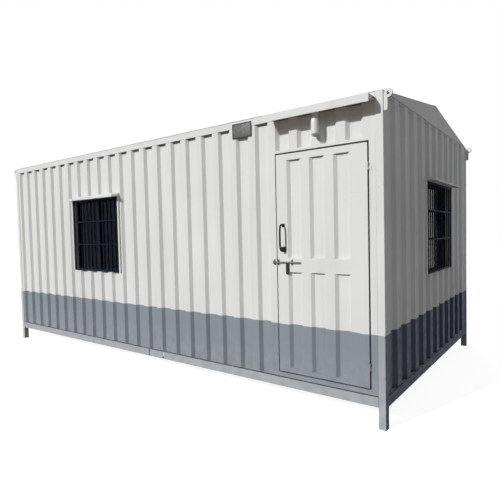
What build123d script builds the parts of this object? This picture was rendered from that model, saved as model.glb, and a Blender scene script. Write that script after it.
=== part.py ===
from build123d import *
import math
import os

# Steel site office cabin, in millimetres. X runs along the cabin, the front wall faces -Y, Z is up.
# The origin lies on the ground, in the middle of the box that holds the cabin and its door canopy.

# Cabin
cabin_length = 6100.0
cabin_width = 3050.0
leg_height = 175.0
roof_rise = 225.0

# General clearances
seam = 0.3
overrun = 5.0

# Steel frame
post_corner_radius = 6.0
rail_setback = 3.0
bottom_rail_height = 88.0
bottom_rail_gauge = 4.0
rail_splice_start = 3168.0
rail_splice_length = 245.0
rail_slit = 14.0
top_rail_height = 68.0
top_rail_depth = 50.0
top_rail_edge_radius = 4.0
joist_width = 40.0
joist_spacing = 610.0
floor_thickness = 18.0

# Lifting lugs
lug_thickness = 12.0
lug_setback = 10.0
lug_bar_width = 32.0
lug_bar_drop = 130.0
lug_ring_radius = 34.0
lug_hole_radius = 13.5
lug_hole_reach = 38.0
lug_hole_drop = 28.0

# Corrugated wall sheets
sheet_gauge = 2.0
sheet_setback = 6.0
rib_pitch = 235.7
rib_first_valley = 193.0
end_rib_pitch = 249.0
end_rib_first_valley = 211.0
rib_valley_flat = 98.0
rib_flank_run = 28.0
rib_height = 30.0
wall_cavity = 17.0

# Lining boards
lining_thickness = 10.0

# Roof
roof_gauge = 3.0
roof_eave_flange = 40.0
ridge_cap_half_width = 120.0
ridge_cap_gauge = 3.0
gable_gauge = 3.0

# Windows
window_width = 1060.0
window_sill_height = 869.0
window_height = 981.0
window_jamb_face = 24.0
window_jamb_proud = 12.0
window_head_face = 35.0
window_sill_face = 30.0
window_frame_back_margin = 3.7
front_window_centre = 2153.0
end_window_centre = 1655.0
sash_sill_margin = 10.0
sash_depth = 14.0
sash_face = 38.0
glass_thickness = 5.0

# Window hoods
hood_reach = 110.0
hood_gauge = 2.0
hood_fall = 20.0
hood_lip = 25.0
hood_upstand = 12.0

# Door frame
door_right_margin = 128.0
door_leaf_width = 894.0
door_leaf_height = 1996.0
door_leaf_thickness = 40.0
door_gap = 9.0
door_jamb_face = 45.0
door_head_face = 30.0
door_sill_face = 45.0
door_stop_width = 22.0
door_stop_gap = 7.0
over_door_height = 275.0

# Pressed panels of the door leaf
panel_count = 3
panel_offset = -20.0
panel_width = 149.0
panel_depth = 24.0
panel_flank_run = 28.0
panel_end_run = 10.0
panel_low_margin = 38.0
panel_mid_rail = 125.0
panel_mid_rail_height = 927.0
panel_top_margin = 58.0

# Door hinges
hinge_barrel_radius = 9.0
hinge_barrel_length = 32.0
hinge_pin_radius = 5.0
hinge_pin_clearance = 0.4
hinge_plate_width = 32.0
hinge_plate_gauge = 4.0
hinge_standoff = 1.5
hinge_low_margin = 178.0
hinge_high_margin = 192.0

# Door handle
handle_inset = 72.0
handle_rise = 69.0
handle_length = 238.0
handle_reach = 62.0
handle_bar_radius = 9.0
handle_bar_sides = 8
handle_bend_radius = 20.0

# Sliding bolt
bolt_rise = 88.0
bolt_radius = 8.0
bolt_length = 273.0
bolt_lift = 12.0
bolt_tip_clearance = 5.0
bolt_tail_clearance = 26.0
bolt_tail_width = 28.0
bolt_tail_gauge = 6.0
bolt_tail_length = 110.0
strap_width = 12.0
strap_gauge = 4.0
strap_left_inset = 12.0
strap_right_inset = 160.0
keeper_clearance = 2.0

# Door canopy and lamp
canopy_reach = 130.0
canopy_gauge = 3.0
canopy_lip = 62.0
canopy_upstand = 30.0
canopy_overlap = 25.0
canopy_drop = 43.0
canopy_gusset = 90.0
lamp_radius = 37.0
lamp_length = 150.0
lamp_dome_height = 32.0
lamp_dome_steps = 4
lamp_neck_radius = 24.0
lamp_neck_length = 92.0
lamp_setout = 45.0
lamp_offset = 1.0

# Levels and derived places
z_rail = leg_height
z_sheet = z_rail + bottom_rail_height
wall_height = (
    bottom_rail_height + door_sill_face + door_leaf_height + 2 * door_gap + door_head_face
    + over_door_height + top_rail_height
)
z_eave = z_rail + wall_height
z_ceiling = z_eave - top_rail_height
z_floor = z_sheet + floor_thickness
sheet_back = sheet_setback + rib_height + sheet_gauge
wall_depth = sheet_back + wall_cavity + lining_thickness
post_size = wall_depth
rib_reach = rib_valley_flat / 2 + rib_flank_run
sash_setback = sheet_back + sash_sill_margin
window_frame_depth = sash_setback + 2 * sash_depth + seam + window_frame_back_margin
origin_shift = canopy_reach / 2

door_right = cabin_length - door_right_margin
door_left = door_right - door_leaf_width - 2 * door_gap
door_sill_top = z_sheet + door_sill_face
leaf_left = door_left + door_gap
leaf_right = door_right - door_gap
leaf_bottom = door_sill_top + door_gap
leaf_top = leaf_bottom + door_leaf_height
door_head_bottom = leaf_top + door_gap
door_head_top = door_head_bottom + door_head_face
door_face = rail_setback
hinge_u = (leaf_right + door_right) / 2
hinge_v = door_face - hinge_barrel_radius - hinge_standoff
z_bolt = leaf_bottom + panel_mid_rail_height + bolt_rise
keeper_centre = door_left - door_jamb_face / 2
z_canopy = z_eave - canopy_drop

# Each wall has its own coordinates: u along it, v inwards from its outer face, z up.
WALLS = {
    "front": (cabin_length, Location((-cabin_length / 2, -cabin_width / 2, 0), (0, 0, 0))),
    "right": (cabin_width, Location((cabin_length / 2, -cabin_width / 2, 0), (0, 0, 90))),
    "back": (cabin_length, Location((cabin_length / 2, cabin_width / 2, 0), (0, 0, 180))),
    "left": (cabin_width, Location((-cabin_length / 2, cabin_width / 2, 0), (0, 0, 270))),
}

END_WALLS = ("left", "right")

# Window openings by wall, as (left, right, low, high) in wall coordinates
z_window = z_floor + window_sill_height
z_window_top = z_window + window_height


def window_opening(centre):
    """Opening for a window whose middle is at a distance along its wall."""
    return (centre - window_width / 2, centre + window_width / 2, z_window, z_window_top)


WINDOWS = {
    "front": window_opening(front_window_centre),
    "right": window_opening(end_window_centre),
    "left": window_opening(cabin_width - end_window_centre),
}
DOORWAY = (door_left - door_jamb_face, cabin_length - post_size, z_sheet, door_head_top)


def block(u0, u1, v0, v1, z0, z1):
    """Box between two corners."""
    return Pos(u0, v0, z0) * Box(u1 - u0, v1 - v0, z1 - z0, align=(Align.MIN, Align.MIN, Align.MIN))


def prism_along_u(points, u0, u1):
    """Closed outline of (v, z) points, extruded along a wall."""
    face = make_face(Plane.YZ * Polyline(*points, close=True))
    return Pos(u0, 0, 0) * extrude(face, amount=u1 - u0, dir=(1, 0, 0))


def prism_up(points, z0, z1):
    """Closed outline of (u, v) points, extruded upwards."""
    face = make_face(Polyline(*points, close=True))
    return Pos(0, 0, z0) * extrude(face, amount=z1 - z0, dir=(0, 0, 1))


def save(node, *solids):
    """Write one node, moved so that the shared origin is at the middle of the whole box."""
    moved = [Pos(0, origin_shift, 0) * solid for solid in solids]
    shape = moved[0] if len(moved) == 1 else Compound(children=moved)
    export_step(shape, os.path.join("parts", node + ".step"))


def panel_spans(wall, openings, top, infill_seam):
    """Rectangles (u0, u1, low, high) that fill a wall beside, under and over its openings."""
    end = WALLS[wall][0] - post_size
    spans = []
    start = post_size
    for left, right, low, high in sorted(openings):
        spans.append((start, left, z_sheet, top))
        spans.append((left + infill_seam, right - infill_seam, z_sheet, low))
        spans.append((left + infill_seam, right - infill_seam, high, top))
        start = right
    spans.append((start, end, z_sheet, top))
    return [span for span in spans if span[1] - span[0] > overrun and span[3] - span[2] > overrun]


# Steel frame


def bottom_rail(u0, u1):
    """Folded channel that opens inwards."""
    tip = wall_depth
    outer = block(u0, u1, rail_setback, tip, z_rail, z_sheet)
    hollow = block(
        u0 - overrun, u1 + overrun, rail_setback + bottom_rail_gauge, tip + overrun,
        z_rail + bottom_rail_gauge, z_sheet - bottom_rail_gauge,
    )
    return outer - hollow


def make_bottom_rails():
    for wall, (length, place) in WALLS.items():
        cuts = [post_size, length - post_size]
        if wall == "front":
            splice_end = rail_splice_start + rail_splice_length
            cuts[1:1] = [rail_splice_start, rail_splice_start + rail_slit, splice_end, splice_end + rail_slit]
        pieces = [place * bottom_rail(a, b) for a, b in zip(cuts[0::2], cuts[1::2])]
        save(wall + "_bottom_rail", *pieces)


def top_rail_front(wall):
    """The end sheets run up to the eave, so the end rails lie behind them."""
    return sheet_back + seam if wall in END_WALLS else rail_setback


def sheet_top(wall):
    return z_eave if wall in END_WALLS else z_ceiling


def make_top_rails():
    for wall, (length, place) in WALLS.items():
        front = top_rail_front(wall)
        back = front + top_rail_depth
        rail = block(post_size, length - post_size, front, back, z_ceiling, z_eave)
        rail = fillet(rail.edges().filter_by(Axis.X), top_rail_edge_radius)
        save(wall + "_top_rail", place * rail)


def corner_posts():
    """The four posts by name; each runs down to the ground as a leg."""
    section = RectangleRounded(post_size, post_size, post_corner_radius)
    post = extrude(section, amount=z_eave)
    x = (cabin_length - post_size) / 2
    y = (cabin_width - post_size) / 2
    return {
        "front_left": Pos(-x, -y, 0) * post,
        "front_right": Pos(x, -y, 0) * post,
        "back_left": Pos(-x, y, 0) * post,
        "back_right": Pos(x, y, 0) * post,
    }


def lifting_lug():
    """Eye plate on the end face of the front right post."""
    ring_centre = (lug_hole_reach, z_eave - lug_hole_drop)
    low = z_eave - lug_hole_drop - lug_bar_drop
    bar_centre = (lug_bar_width / 2, (low + ring_centre[1]) / 2)
    bar = Pos(*bar_centre) * Rectangle(lug_bar_width, lug_bar_drop)
    bar = fillet(bar.vertices().group_by(Axis.Y)[0].sort_by(Axis.X)[-1:], lug_bar_width / 2)
    outline = bar + Pos(*ring_centre) * Circle(lug_ring_radius)
    outline -= Pos(*ring_centre) * Circle(lug_hole_radius)
    plate = extrude(Plane.XZ * outline, amount=lug_thickness, dir=(0, 1, 0))
    return Pos(cabin_length / 2, lug_setback - cabin_width / 2, 0) * plate


def make_lugs():
    right = lifting_lug()
    left = mirror(right, about=Plane.YZ)
    save("lug_front_right", right)
    save("lug_front_left", left)
    save("lug_back_right", mirror(right, about=Plane.XZ))
    save("lug_back_left", mirror(left, about=Plane.XZ))


def make_floor():
    joist_reach = cabin_width / 2 - wall_depth
    joist = block(-joist_width / 2, joist_width / 2, -joist_reach, joist_reach, z_rail, z_sheet)
    count = int((cabin_length - joist_width - 2 * wall_depth) // joist_spacing)
    first = -(count - 1) * joist_spacing / 2
    save("floor_joists", *[Pos(first + n * joist_spacing, 0, 0) * joist for n in range(count)])
    deck_u = cabin_length / 2 - wall_depth
    save("floor_deck", block(-deck_u, deck_u, -joist_reach, joist_reach, z_sheet, z_floor))


# Walls


def valley_centres(wall):
    """Distances along a wall of the sheet's valleys, whole ones only."""
    first, pitch = rib_first_valley, rib_pitch
    if wall in END_WALLS:
        first, pitch = end_rib_first_valley, end_rib_pitch
    room = WALLS[wall][0] - post_size - rib_reach - first
    return [first + n * pitch for n in range(int(room // pitch) + 1)]


def rib_depth(u, centres):
    """How far the sheet lies behind its crests at u."""
    nearest = min(abs(u - centre) for centre in centres)
    return rib_height * min(max((rib_reach - nearest) / rib_flank_run, 0), 1)


def corrugated_panel(u0, u1, z0, z1, centres):
    """Trapezoid sheet between two distances along the wall, in step with the rest of that wall."""
    reaches = (-rib_reach, -rib_valley_flat / 2, rib_valley_flat / 2, rib_reach)
    bends = [centre + reach for centre in centres for reach in reaches]
    stops = [u0] + sorted(u for u in bends if u0 < u < u1) + [u1]
    outer = [(u, sheet_setback + rib_depth(u, centres)) for u in stops]
    inner = [(u, v + sheet_gauge) for u, v in reversed(outer)]
    return prism_up(outer + inner, z0, z1)


def wall_openings(wall):
    openings = [WINDOWS[wall]] if wall in WINDOWS else []
    return openings + [DOORWAY] if wall == "front" else openings


def make_walls():
    for wall, (_, place) in WALLS.items():
        centres = valley_centres(wall)
        spans = panel_spans(wall, wall_openings(wall), sheet_top(wall), seam)
        save(wall + "_wall", *[place * corrugated_panel(*span, centres) for span in spans])


def make_linings():
    front = wall_depth - lining_thickness
    for wall, (_, place) in WALLS.items():
        openings = [(a, b, low - window_sill_face, high) if low > z_sheet else (a, b, low, high)
                    for a, b, low, high in wall_openings(wall)]
        spans = panel_spans(wall, openings, z_ceiling, seam)
        boards = [block(a, b, front, wall_depth, low, high) for a, b, low, high in spans]
        save(wall + "_lining", *[place * piece for piece in boards])


def make_ceiling():
    x = cabin_length / 2 - top_rail_front("right") - top_rail_depth
    y = cabin_width / 2 - top_rail_front("front") - top_rail_depth
    save("ceiling", block(-x, x, -y, y, z_ceiling, z_ceiling + lining_thickness))


# Roof


def make_roof():
    middle = cabin_width / 2
    ridge_under = z_eave + roof_rise - ridge_cap_gauge - roof_gauge
    slope = (ridge_under - z_eave) / (middle - roof_eave_flange)
    line = [(0, z_eave), (roof_eave_flange, z_eave), (middle - seam, ridge_under - slope * seam)]
    half = prism_along_u(line + [(v, z + roof_gauge) for v, z in reversed(line)], 0, cabin_length)
    save("roof_front", WALLS["front"][1] * half)
    save("roof_back", WALLS["back"][1] * half)

    on_ridge = ridge_under + roof_gauge
    on_edge = on_ridge - slope * ridge_cap_half_width
    edges = (middle - ridge_cap_half_width, middle + ridge_cap_half_width)
    cap = [(edges[0], on_edge), (middle, on_ridge), (edges[1], on_edge)]
    cap_outline = cap + [(v, z + ridge_cap_gauge) for v, z in reversed(cap)]
    save("ridge_cap", WALLS["front"][1] * prism_along_u(cap_outline, 0, cabin_length))

    foot = roof_eave_flange
    gable = Polyline((foot, z_eave), (cabin_width - foot, z_eave), (middle, ridge_under), close=True)
    plate = Pos(0, rail_setback, 0) * extrude(make_face(Plane.XZ * gable), amount=gable_gauge, dir=(0, 1, 0))
    for wall in ("left", "right"):
        save(wall + "_gable", WALLS[wall][1] * plate)


# Windows


def window_frame(opening):
    """Two jambs, a head and a sill; the sill lies behind the sheet's cut edge."""
    left, right, low, high = opening
    inner = (left + window_jamb_face + seam, right - window_jamb_face - seam)
    sill_front = sheet_back + seam
    foot = low - window_sill_face
    proud = -window_jamb_proud
    jambs = []
    for u0, u1 in ((left + seam, left + window_jamb_face), (right - window_jamb_face, right - seam)):
        outer = block(u0, u1, proud, window_frame_depth, low, high - seam)
        jambs.append(outer + block(u0, u1, sill_front, window_frame_depth, foot, low))
    head = block(*inner, rail_setback, window_frame_depth, high - window_head_face, high - seam)
    sill = block(*inner, sill_front, window_frame_depth, foot, low)
    return jambs + [head, sill]


def sash(u0, u1, v0, z0, z1):
    """Four members of one sliding sash."""
    v1 = v0 + sash_depth
    rails = [(z0, z0 + sash_face), (z1 - sash_face, z1)]
    stiles = [block(a, b, v0, v1, z0, z1) for a, b in ((u0, u0 + sash_face), (u1 - sash_face, u1))]
    across = (u0 + sash_face + seam, u1 - sash_face - seam)
    return stiles + [block(*across, v0, v1, low, high) for low, high in rails]


def sash_places(opening):
    """The two sashes of a window as (u0, u1, v0, z0, z1)."""
    left, right, low, high = opening
    a, b = left + window_jamb_face + seam, right - window_jamb_face - seam
    half = (b - a + sash_face) / 2
    z0, z1 = low + seam, high - window_head_face - seam
    inner_track = sash_setback + sash_depth + seam
    return [(a, a + half, sash_setback, z0, z1), (b - half, b, inner_track, z0, z1)]


def sash_glass(u0, u1, v0, z0, z1):
    edge = sash_face + seam
    front = v0 + (sash_depth - glass_thickness) / 2
    return block(u0 + edge, u1 - edge, front, front + glass_thickness, z0 + edge, z1 - edge)


def window_hood(opening):
    """Folded hood over a window, with a lip round its three free sides."""
    u0, u1, low, high = opening
    face = -window_jamb_proud
    out = sheet_setback - hood_reach
    slope = hood_fall / (hood_reach - hood_gauge)
    root = high + slope * (sheet_setback - face)
    edge = root - hood_fall
    back = sheet_setback - hood_gauge
    fold = [(sheet_setback, root + hood_upstand), (sheet_setback, root), (out + hood_gauge, edge),
            (out + hood_gauge, edge - hood_lip), (out, edge - hood_lip), (out, edge + hood_gauge),
            (back, root + hood_gauge), (back, root + hood_upstand)]
    hood = prism_along_u(fold, u0, u1)
    tip = out + hood_gauge
    cheek = [(face, high), (tip, edge), (tip, edge - hood_lip), (face, high - hood_lip)]
    hood += prism_along_u(cheek, u0, u0 + hood_gauge)
    return hood + prism_along_u(cheek, u1 - hood_gauge, u1)


def make_windows():
    frames, sashes, glass, hoods = [], [], [], []
    for wall, opening in WINDOWS.items():
        place = WALLS[wall][1]
        frames += [place * piece for piece in window_frame(opening)]
        for sash_place in sash_places(opening):
            sashes += [place * piece for piece in sash(*sash_place)]
            glass.append(place * sash_glass(*sash_place))
        hoods.append(place * window_hood(opening))
    save("window_frames", *frames)
    save("window_sashes", *sashes)
    save("window_glass", *glass)
    save("window_hoods", *hoods)


# Doorway


def make_door_frame(place):
    left = block(door_left - door_jamb_face, door_left, door_face, wall_depth, z_sheet, door_head_top)
    right = block(door_right, cabin_length - post_size, door_face, wall_depth, z_sheet, door_head_top)
    across = (door_left + seam, door_right - seam)
    head = block(*across, door_face, wall_depth, door_head_bottom, door_head_top)
    sill = block(*across, door_face, wall_depth, z_sheet, door_sill_top)
    stop_front = door_face + door_leaf_thickness + door_stop_gap
    stop_low, stop_high = door_sill_top + seam, door_head_bottom - seam
    stops = [
        block(a, b, stop_front, wall_depth, stop_low, stop_high)
        for a, b in ((across[0], across[0] + door_stop_width), (across[1] - door_stop_width, across[1]))
    ]
    span = (across[0] + door_stop_width + seam, across[1] - door_stop_width - seam)
    stops.append(block(*span, stop_front, wall_depth, stop_high - door_stop_width, stop_high))
    save("door_frame", *[place * piece for piece in [left, right, head, sill] + stops])


def make_canopy(place):
    """Folded sheet over the door, hung from the top rail, with a lip, corner gussets and a lamp under it."""
    out, inner = -canopy_reach, canopy_gauge - canopy_reach
    back = rail_setback - canopy_gauge
    under = z_canopy - canopy_gauge
    edge = z_canopy - canopy_lip
    top = z_canopy + canopy_upstand
    fold = [(out, edge), (out, z_canopy), (back, z_canopy), (back, top), (rail_setback, top),
            (rail_setback, under), (inner, under), (inner, edge)]
    left, right = door_left - canopy_overlap, cabin_length - post_size - seam
    canopy = prism_along_u(fold, left, right)
    gusset = [(inner, under), (inner, edge), (inner + canopy_gusset, under)]
    for u in (left, right - canopy_gauge):
        canopy += prism_along_u(gusset, u, u + canopy_gauge)
    save("door_canopy", place * canopy)

    shoulder = under - lamp_neck_length
    low = shoulder - lamp_length
    turns = [math.radians(90 * n / lamp_dome_steps) for n in range(lamp_dome_steps + 1)]
    dome = [(lamp_radius * math.sin(a), low + lamp_dome_height * (1 - math.cos(a))) for a in turns]
    neck = [(lamp_radius, shoulder), (lamp_neck_radius, shoulder), (lamp_neck_radius, under), (0, under)]
    lamp = revolve(make_face(Plane.XZ * Polyline(*dome, *neck, close=True)), Axis.Z)
    lamp_u = (door_left + door_right) / 2 + lamp_offset
    save("door_lamp", place * Pos(lamp_u, -lamp_setout, 0) * lamp)


# Door


def panel_recess(u, z0, z1):
    """Cutter for one pressed panel, with sloping flanks all round."""
    outer = Pos(u, (z0 + z1) / 2) * Rectangle(panel_width, z1 - z0)
    floor_width = panel_width - 2 * panel_flank_run
    inner = Pos(u, (z0 + z1) / 2) * Rectangle(floor_width, z1 - z0 - 2 * panel_end_run)
    return loft([Plane.XZ.offset(-door_face) * outer, Plane.XZ.offset(-door_face - panel_depth) * inner])


def make_door_leaf(place):
    leaf = block(leaf_left, leaf_right, door_face, door_face + door_leaf_thickness, leaf_bottom, leaf_top)
    mid_low = leaf_bottom + panel_mid_rail_height
    mid_high = mid_low + panel_mid_rail
    rows = [(leaf_bottom + panel_low_margin, mid_low), (mid_high, leaf_top - panel_top_margin)]
    middle = (leaf_left + leaf_right) / 2 + panel_offset
    for n in range(panel_count):
        u = middle + (n - (panel_count - 1) / 2) * rib_pitch
        for z0, z1 in rows:
            leaf -= panel_recess(u, z0, z1)
    save("door_leaf", place * leaf)


def hinge_centres():
    return [leaf_bottom + hinge_low_margin, leaf_top - hinge_high_margin]


def hinge_half(z0, side):
    """Barrel and welded plate of one hinge half; side is 1 towards the jamb and -1 towards the leaf."""
    barrel = Cylinder(hinge_barrel_radius, hinge_barrel_length, align=(Align.CENTER, Align.CENTER, Align.MIN))
    tips = sorted((hinge_u, hinge_u + side * hinge_plate_width))
    plate = block(*tips, door_face - hinge_plate_gauge, door_face, z0, z0 + hinge_barrel_length)
    return Pos(hinge_u, hinge_v, z0) * barrel + plate


def make_hinges(place):
    frame_halves, leaf_halves = [], []
    on_axis = (Align.CENTER, Align.CENTER, Align.MIN)
    for z in hinge_centres():
        pin = Cylinder(hinge_pin_radius, hinge_barrel_length, align=on_axis)
        frame_halves.append(place * (hinge_half(z - hinge_barrel_length, 1) + Pos(hinge_u, hinge_v, z) * pin))
        bore = Cylinder(hinge_pin_radius + hinge_pin_clearance, hinge_barrel_length + overrun, align=on_axis)
        leaf_halves.append(place * (hinge_half(z + seam, -1) - Pos(hinge_u, hinge_v, z) * bore))
    save("frame_hinges", *frame_halves)
    save("door_hinges", *leaf_halves)


def make_handle(place):
    """Bow handle of eight-sided bar."""
    u = leaf_left + handle_inset
    low = leaf_bottom + panel_mid_rail_height + panel_mid_rail + handle_rise
    high = low + handle_length
    out = door_face - handle_reach
    path = FilletPolyline((u, door_face, low), (u, out, low), (u, out, high), (u, door_face, high),
                          radius=handle_bend_radius)
    section = Plane(origin=path @ 0, z_dir=path % 0) * RegularPolygon(handle_bar_radius, handle_bar_sides)
    save("door_handle", place * sweep(section, path=path))


def bolt_strap(u, clearance):
    """U-shaped strap that holds the bolt against a flat face."""
    opening = bolt_radius + clearance
    depth = bolt_lift + opening
    u0, u1 = u - strap_width / 2, u + strap_width / 2
    outer = block(u0, u1, door_face - depth - strap_gauge, door_face,
                  z_bolt - opening - strap_gauge, z_bolt + opening + strap_gauge)
    hollow = block(u0 - overrun, u1 + overrun, door_face - depth, door_face + overrun,
                   z_bolt - opening, z_bolt + opening)
    return outer - hollow


def make_bolt(place):
    """Drawn bolt: its tip stands clear of the keeper on the jamb."""
    save("bolt_keeper", place * bolt_strap(keeper_centre, keeper_clearance))
    straps = (leaf_left + strap_left_inset, leaf_left + strap_right_inset)
    save("bolt_brackets", *[place * bolt_strap(u, seam) for u in straps])
    tip = keeper_centre + strap_width / 2 + bolt_tip_clearance
    axis_v = door_face - bolt_lift
    rod = Pos(tip, axis_v, z_bolt) * Rot(0, 90, 0) * Cylinder(
        bolt_radius, bolt_length, align=(Align.CENTER, Align.CENTER, Align.MIN))
    tail_right = straps[1] - strap_width / 2 - bolt_tail_clearance
    tail_front = axis_v - bolt_tail_gauge / 2
    tail = block(tail_right - bolt_tail_width, tail_right, tail_front, tail_front + bolt_tail_gauge,
                 z_bolt - bolt_tail_length, z_bolt)
    save("door_bolt", place * (rod + tail))


os.makedirs("parts", exist_ok=True)
front_place = WALLS["front"][1]
for corner, post in corner_posts().items():
    save("post_" + corner, post)
make_bottom_rails()
make_top_rails()
make_lugs()
make_floor()
make_walls()
make_linings()
make_ceiling()
make_roof()
make_windows()
make_door_frame(front_place)
make_canopy(front_place)
make_door_leaf(front_place)
make_hinges(front_place)
make_handle(front_place)
make_bolt(front_place)
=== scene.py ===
import math
from functools import reduce

import bmesh
import bpy
from mathutils import Matrix, Vector


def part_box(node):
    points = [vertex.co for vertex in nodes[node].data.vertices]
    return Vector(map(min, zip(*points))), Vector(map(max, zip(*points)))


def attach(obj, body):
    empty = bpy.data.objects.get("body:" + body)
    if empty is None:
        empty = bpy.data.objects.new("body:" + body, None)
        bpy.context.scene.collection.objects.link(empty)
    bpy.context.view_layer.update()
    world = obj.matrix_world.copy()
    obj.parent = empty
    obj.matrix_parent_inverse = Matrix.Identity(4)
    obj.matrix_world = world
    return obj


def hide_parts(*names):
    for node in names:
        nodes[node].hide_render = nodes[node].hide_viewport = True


# Looks for the steel site office cabin, in metres, in the frame of the CAD part:
# X runs along the cabin, the front wall faces -Y, Z is up and the ground is at zero.

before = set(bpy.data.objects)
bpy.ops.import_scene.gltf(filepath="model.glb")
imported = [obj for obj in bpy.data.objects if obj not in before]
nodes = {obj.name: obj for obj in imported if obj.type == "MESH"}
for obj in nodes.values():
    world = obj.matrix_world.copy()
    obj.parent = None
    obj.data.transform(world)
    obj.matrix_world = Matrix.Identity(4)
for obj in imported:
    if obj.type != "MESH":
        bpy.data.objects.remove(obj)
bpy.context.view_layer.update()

# Where things are, from the CAD part

FRONT_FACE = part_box("post_front_left")[0].y
BACK_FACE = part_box("post_back_left")[1].y
LEFT_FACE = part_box("post_front_left")[0].x
RIGHT_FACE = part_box("post_front_right")[1].x
LENGTH = RIGHT_FACE - LEFT_FACE
WIDTH = BACK_FACE - FRONT_FACE
MIDDLE = (FRONT_FACE + BACK_FACE) / 2
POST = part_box("post_front_left")[1].x - LEFT_FACE
RAIL_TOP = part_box("front_bottom_rail")[1].z
RAIL_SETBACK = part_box("front_bottom_rail")[0].y - FRONT_FACE
RAIL_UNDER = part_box("front_top_rail")[0].z
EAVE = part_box("front_top_rail")[1].z
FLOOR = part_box("floor_deck")[1].z
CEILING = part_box("ceiling")[0].z
LINING_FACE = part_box("front_lining")[1].y - FRONT_FACE
DOOR_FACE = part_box("door_leaf")[0].y


def wall_frame(corner, turn):
    """Wall coordinates (along, inwards, up) to the frame of the part."""
    return Matrix.Translation((*corner, 0)) @ Matrix.Rotation(math.radians(turn), 4, "Z")


WALLS = {
    "front": wall_frame((LEFT_FACE, FRONT_FACE), 0),
    "right": wall_frame((RIGHT_FACE, FRONT_FACE), 90),
    "back": wall_frame((RIGHT_FACE, BACK_FACE), 180),
    "left": wall_frame((LEFT_FACE, BACK_FACE), 270),
}
WALL_REACH = 0.2


def wall_length(wall):
    """Length of a wall over its posts."""
    return LENGTH if wall in ("front", "back") else WIDTH


def box_on_wall(node, wall):
    """Lowest and highest corner, in wall coordinates, of what a node has at one wall."""
    back = WALLS[wall].inverted()
    points = [back @ v.co for v in nodes[node].data.vertices]
    points = [p for p in points if -WALL_REACH < p.y < WALL_REACH]
    return [Vector(pick(p[i] for p in points) for i in range(3)) for pick in (min, max)]


# Colours: dust and rust are mixed into the paint; other dirt, wear and painted shade are multiplied over it

WHITE_PAINT = (0.735, 0.735, 0.712, 1)
GREY_PAINT = (0.255, 0.285, 0.315, 1)
RAIL_GREY = (0.365, 0.390, 0.415, 1)
PALE_PRIMER = (0.60, 0.575, 0.525, 1)
DUST = (0.53, 0.53, 0.53, 1)
RUST = (0.20, 0.075, 0.030, 1)
FADED = (0.86, 0.86, 0.84, 1)
STREAK = (0.80, 0.78, 0.73, 1)
CHIPPED = (0.45, 0.43, 0.40, 1)
# Grime and painted shade low on the end walls
END_GRIME_AND_SHADE = (0.44, 0.44, 0.50, 1)
# Painted shade, bluish, deepening towards the back of the right end wall
REAR_SHADE = (0.25, 0.33, 0.58, 1)
MUD = (0.50, 0.52, 0.62, 1)
# Painted shade in the valley tops under the top rails and under the front window
VALLEY_SHADE = (0.42, 0.40, 0.37, 1)
# Painted shade, tinted brown, on the wall under the door canopy
CANOPY_SHADE = (0.93, 0.83, 0.76, 1)
ROOF_PAINT, ROOF_CHALK = (0.66, 0.67, 0.67, 1), (0.56, 0.57, 0.57, 1)
ROOF_DUST, ROOF_WEAR = (0.74, 0.68, 0.60, 1), (0.50, 0.48, 0.45, 1)
BARE_STEEL = (0.30, 0.29, 0.28, 1)
GLASS_TINT, GLASS_SHINE = (0.012, 0.018, 0.045, 1), (0.28, 0.45, 1.0, 1)
YELLOWED = (0.78, 0.74, 0.66, 1)

# Where the paint changes, where dirt lies and where shade is painted

PAINT_LINE, LINE_FADE, LINE_WANDER = 0.765, 0.002, 0.004
SPLASH_TOP, SPLASH_FULL = 0.62, 0.10
MUD_LOW, MUD_HIGH = 0.25, 0.31
POST_INNER_X, END_FADE = RIGHT_FACE - POST, 0.01
VALLEY_FROM, VALLEY_DEEP = 0.020, 0.030
SHADE_DROP, SHADE_FADE = 0.020, 0.004
SILL, SILL_END = (WALLS["front"] @ corner for corner in box_on_wall("window_sashes", "front"))
SHELTER, SHELTER_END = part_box("door_canopy")
SHELTER_LOW, SHELTER_HIGH, SHELTER_FADE = 2.535, 2.640, 0.015

# Noise patterns: scale, detail, and the noise at which the pattern starts and is full

LINE_WAVES = (7.0, 3.0, 0.30, 0.70)
CLOUDS = (1.1, 4.0, 0.35, 0.68)
RUNS = (9.0, 3.0, 0.52, 0.72)
SPLASHES = (11.0, 5.0, 0.35, 0.70)
CANOPY_SHADE_PATCHES = (5.0, 4.0, 0.25, 0.65)
CHIPS = (24.0, 4.0, 0.50, 0.66)
RUST_SPOTS = (55.0, 4.0, 0.66, 0.74)
RUST_AREAS = (2.3, 3.0, 0.50, 0.62)
UNDERSIDE_PATCHES = (6.0, 4.0, 0.20, 0.60)
PAINT_SHEEN = (16.0, 4.0, 0.30, 0.70)
RUBBING = (60.0, 4.0, 0.42, 0.62)
METAL_CLOUDS = (35.0, 5.0, 0.35, 0.70)
METAL_SHEEN = (45.0, 4.0, 0.30, 0.70)
CHALKING = (1.6, 5.0, 0.30, 0.70)
ROOF_RUNS = (8.0, 4.0, 0.50, 0.72)
ROOF_SHEEN = (20.0, 4.0, 0.30, 0.70)
BOARD_CLOUDS = (5.0, 5.0, 0.30, 0.70)
BOARD_SPECKS = (90.0, 3.0, 0.60, 0.72)
SMOOTH_SHEEN = (30.0, 3.0, 0.30, 0.70)
GLASS_FILM = (4.0, 4.0, 0.30, 0.70)
YELLOWING = (18.0, 4.0, 0.45, 0.75)

# Relief patterns: scale, detail, depth and strength

PAINT_PEEL = (240.0, 2.0, 0.0006, 0.35)
METAL_GRAIN = (180.0, 3.0, 0.0005, 0.40)
ROOF_WAVES = (2.2, 3.0, 0.006, 0.60)
BOARD_GRAIN = (140.0, 3.0, 0.0004, 0.40)
PLASTIC_GRAIN = (220.0, 2.0, 0.0004, 0.30)
DENT_SCALE, DENT_DETAIL, DENT_STRENGTH = 3.4, 2.0, 0.6

# Scale of a pattern along X, Y and Z: a scale under one draws it out

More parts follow.
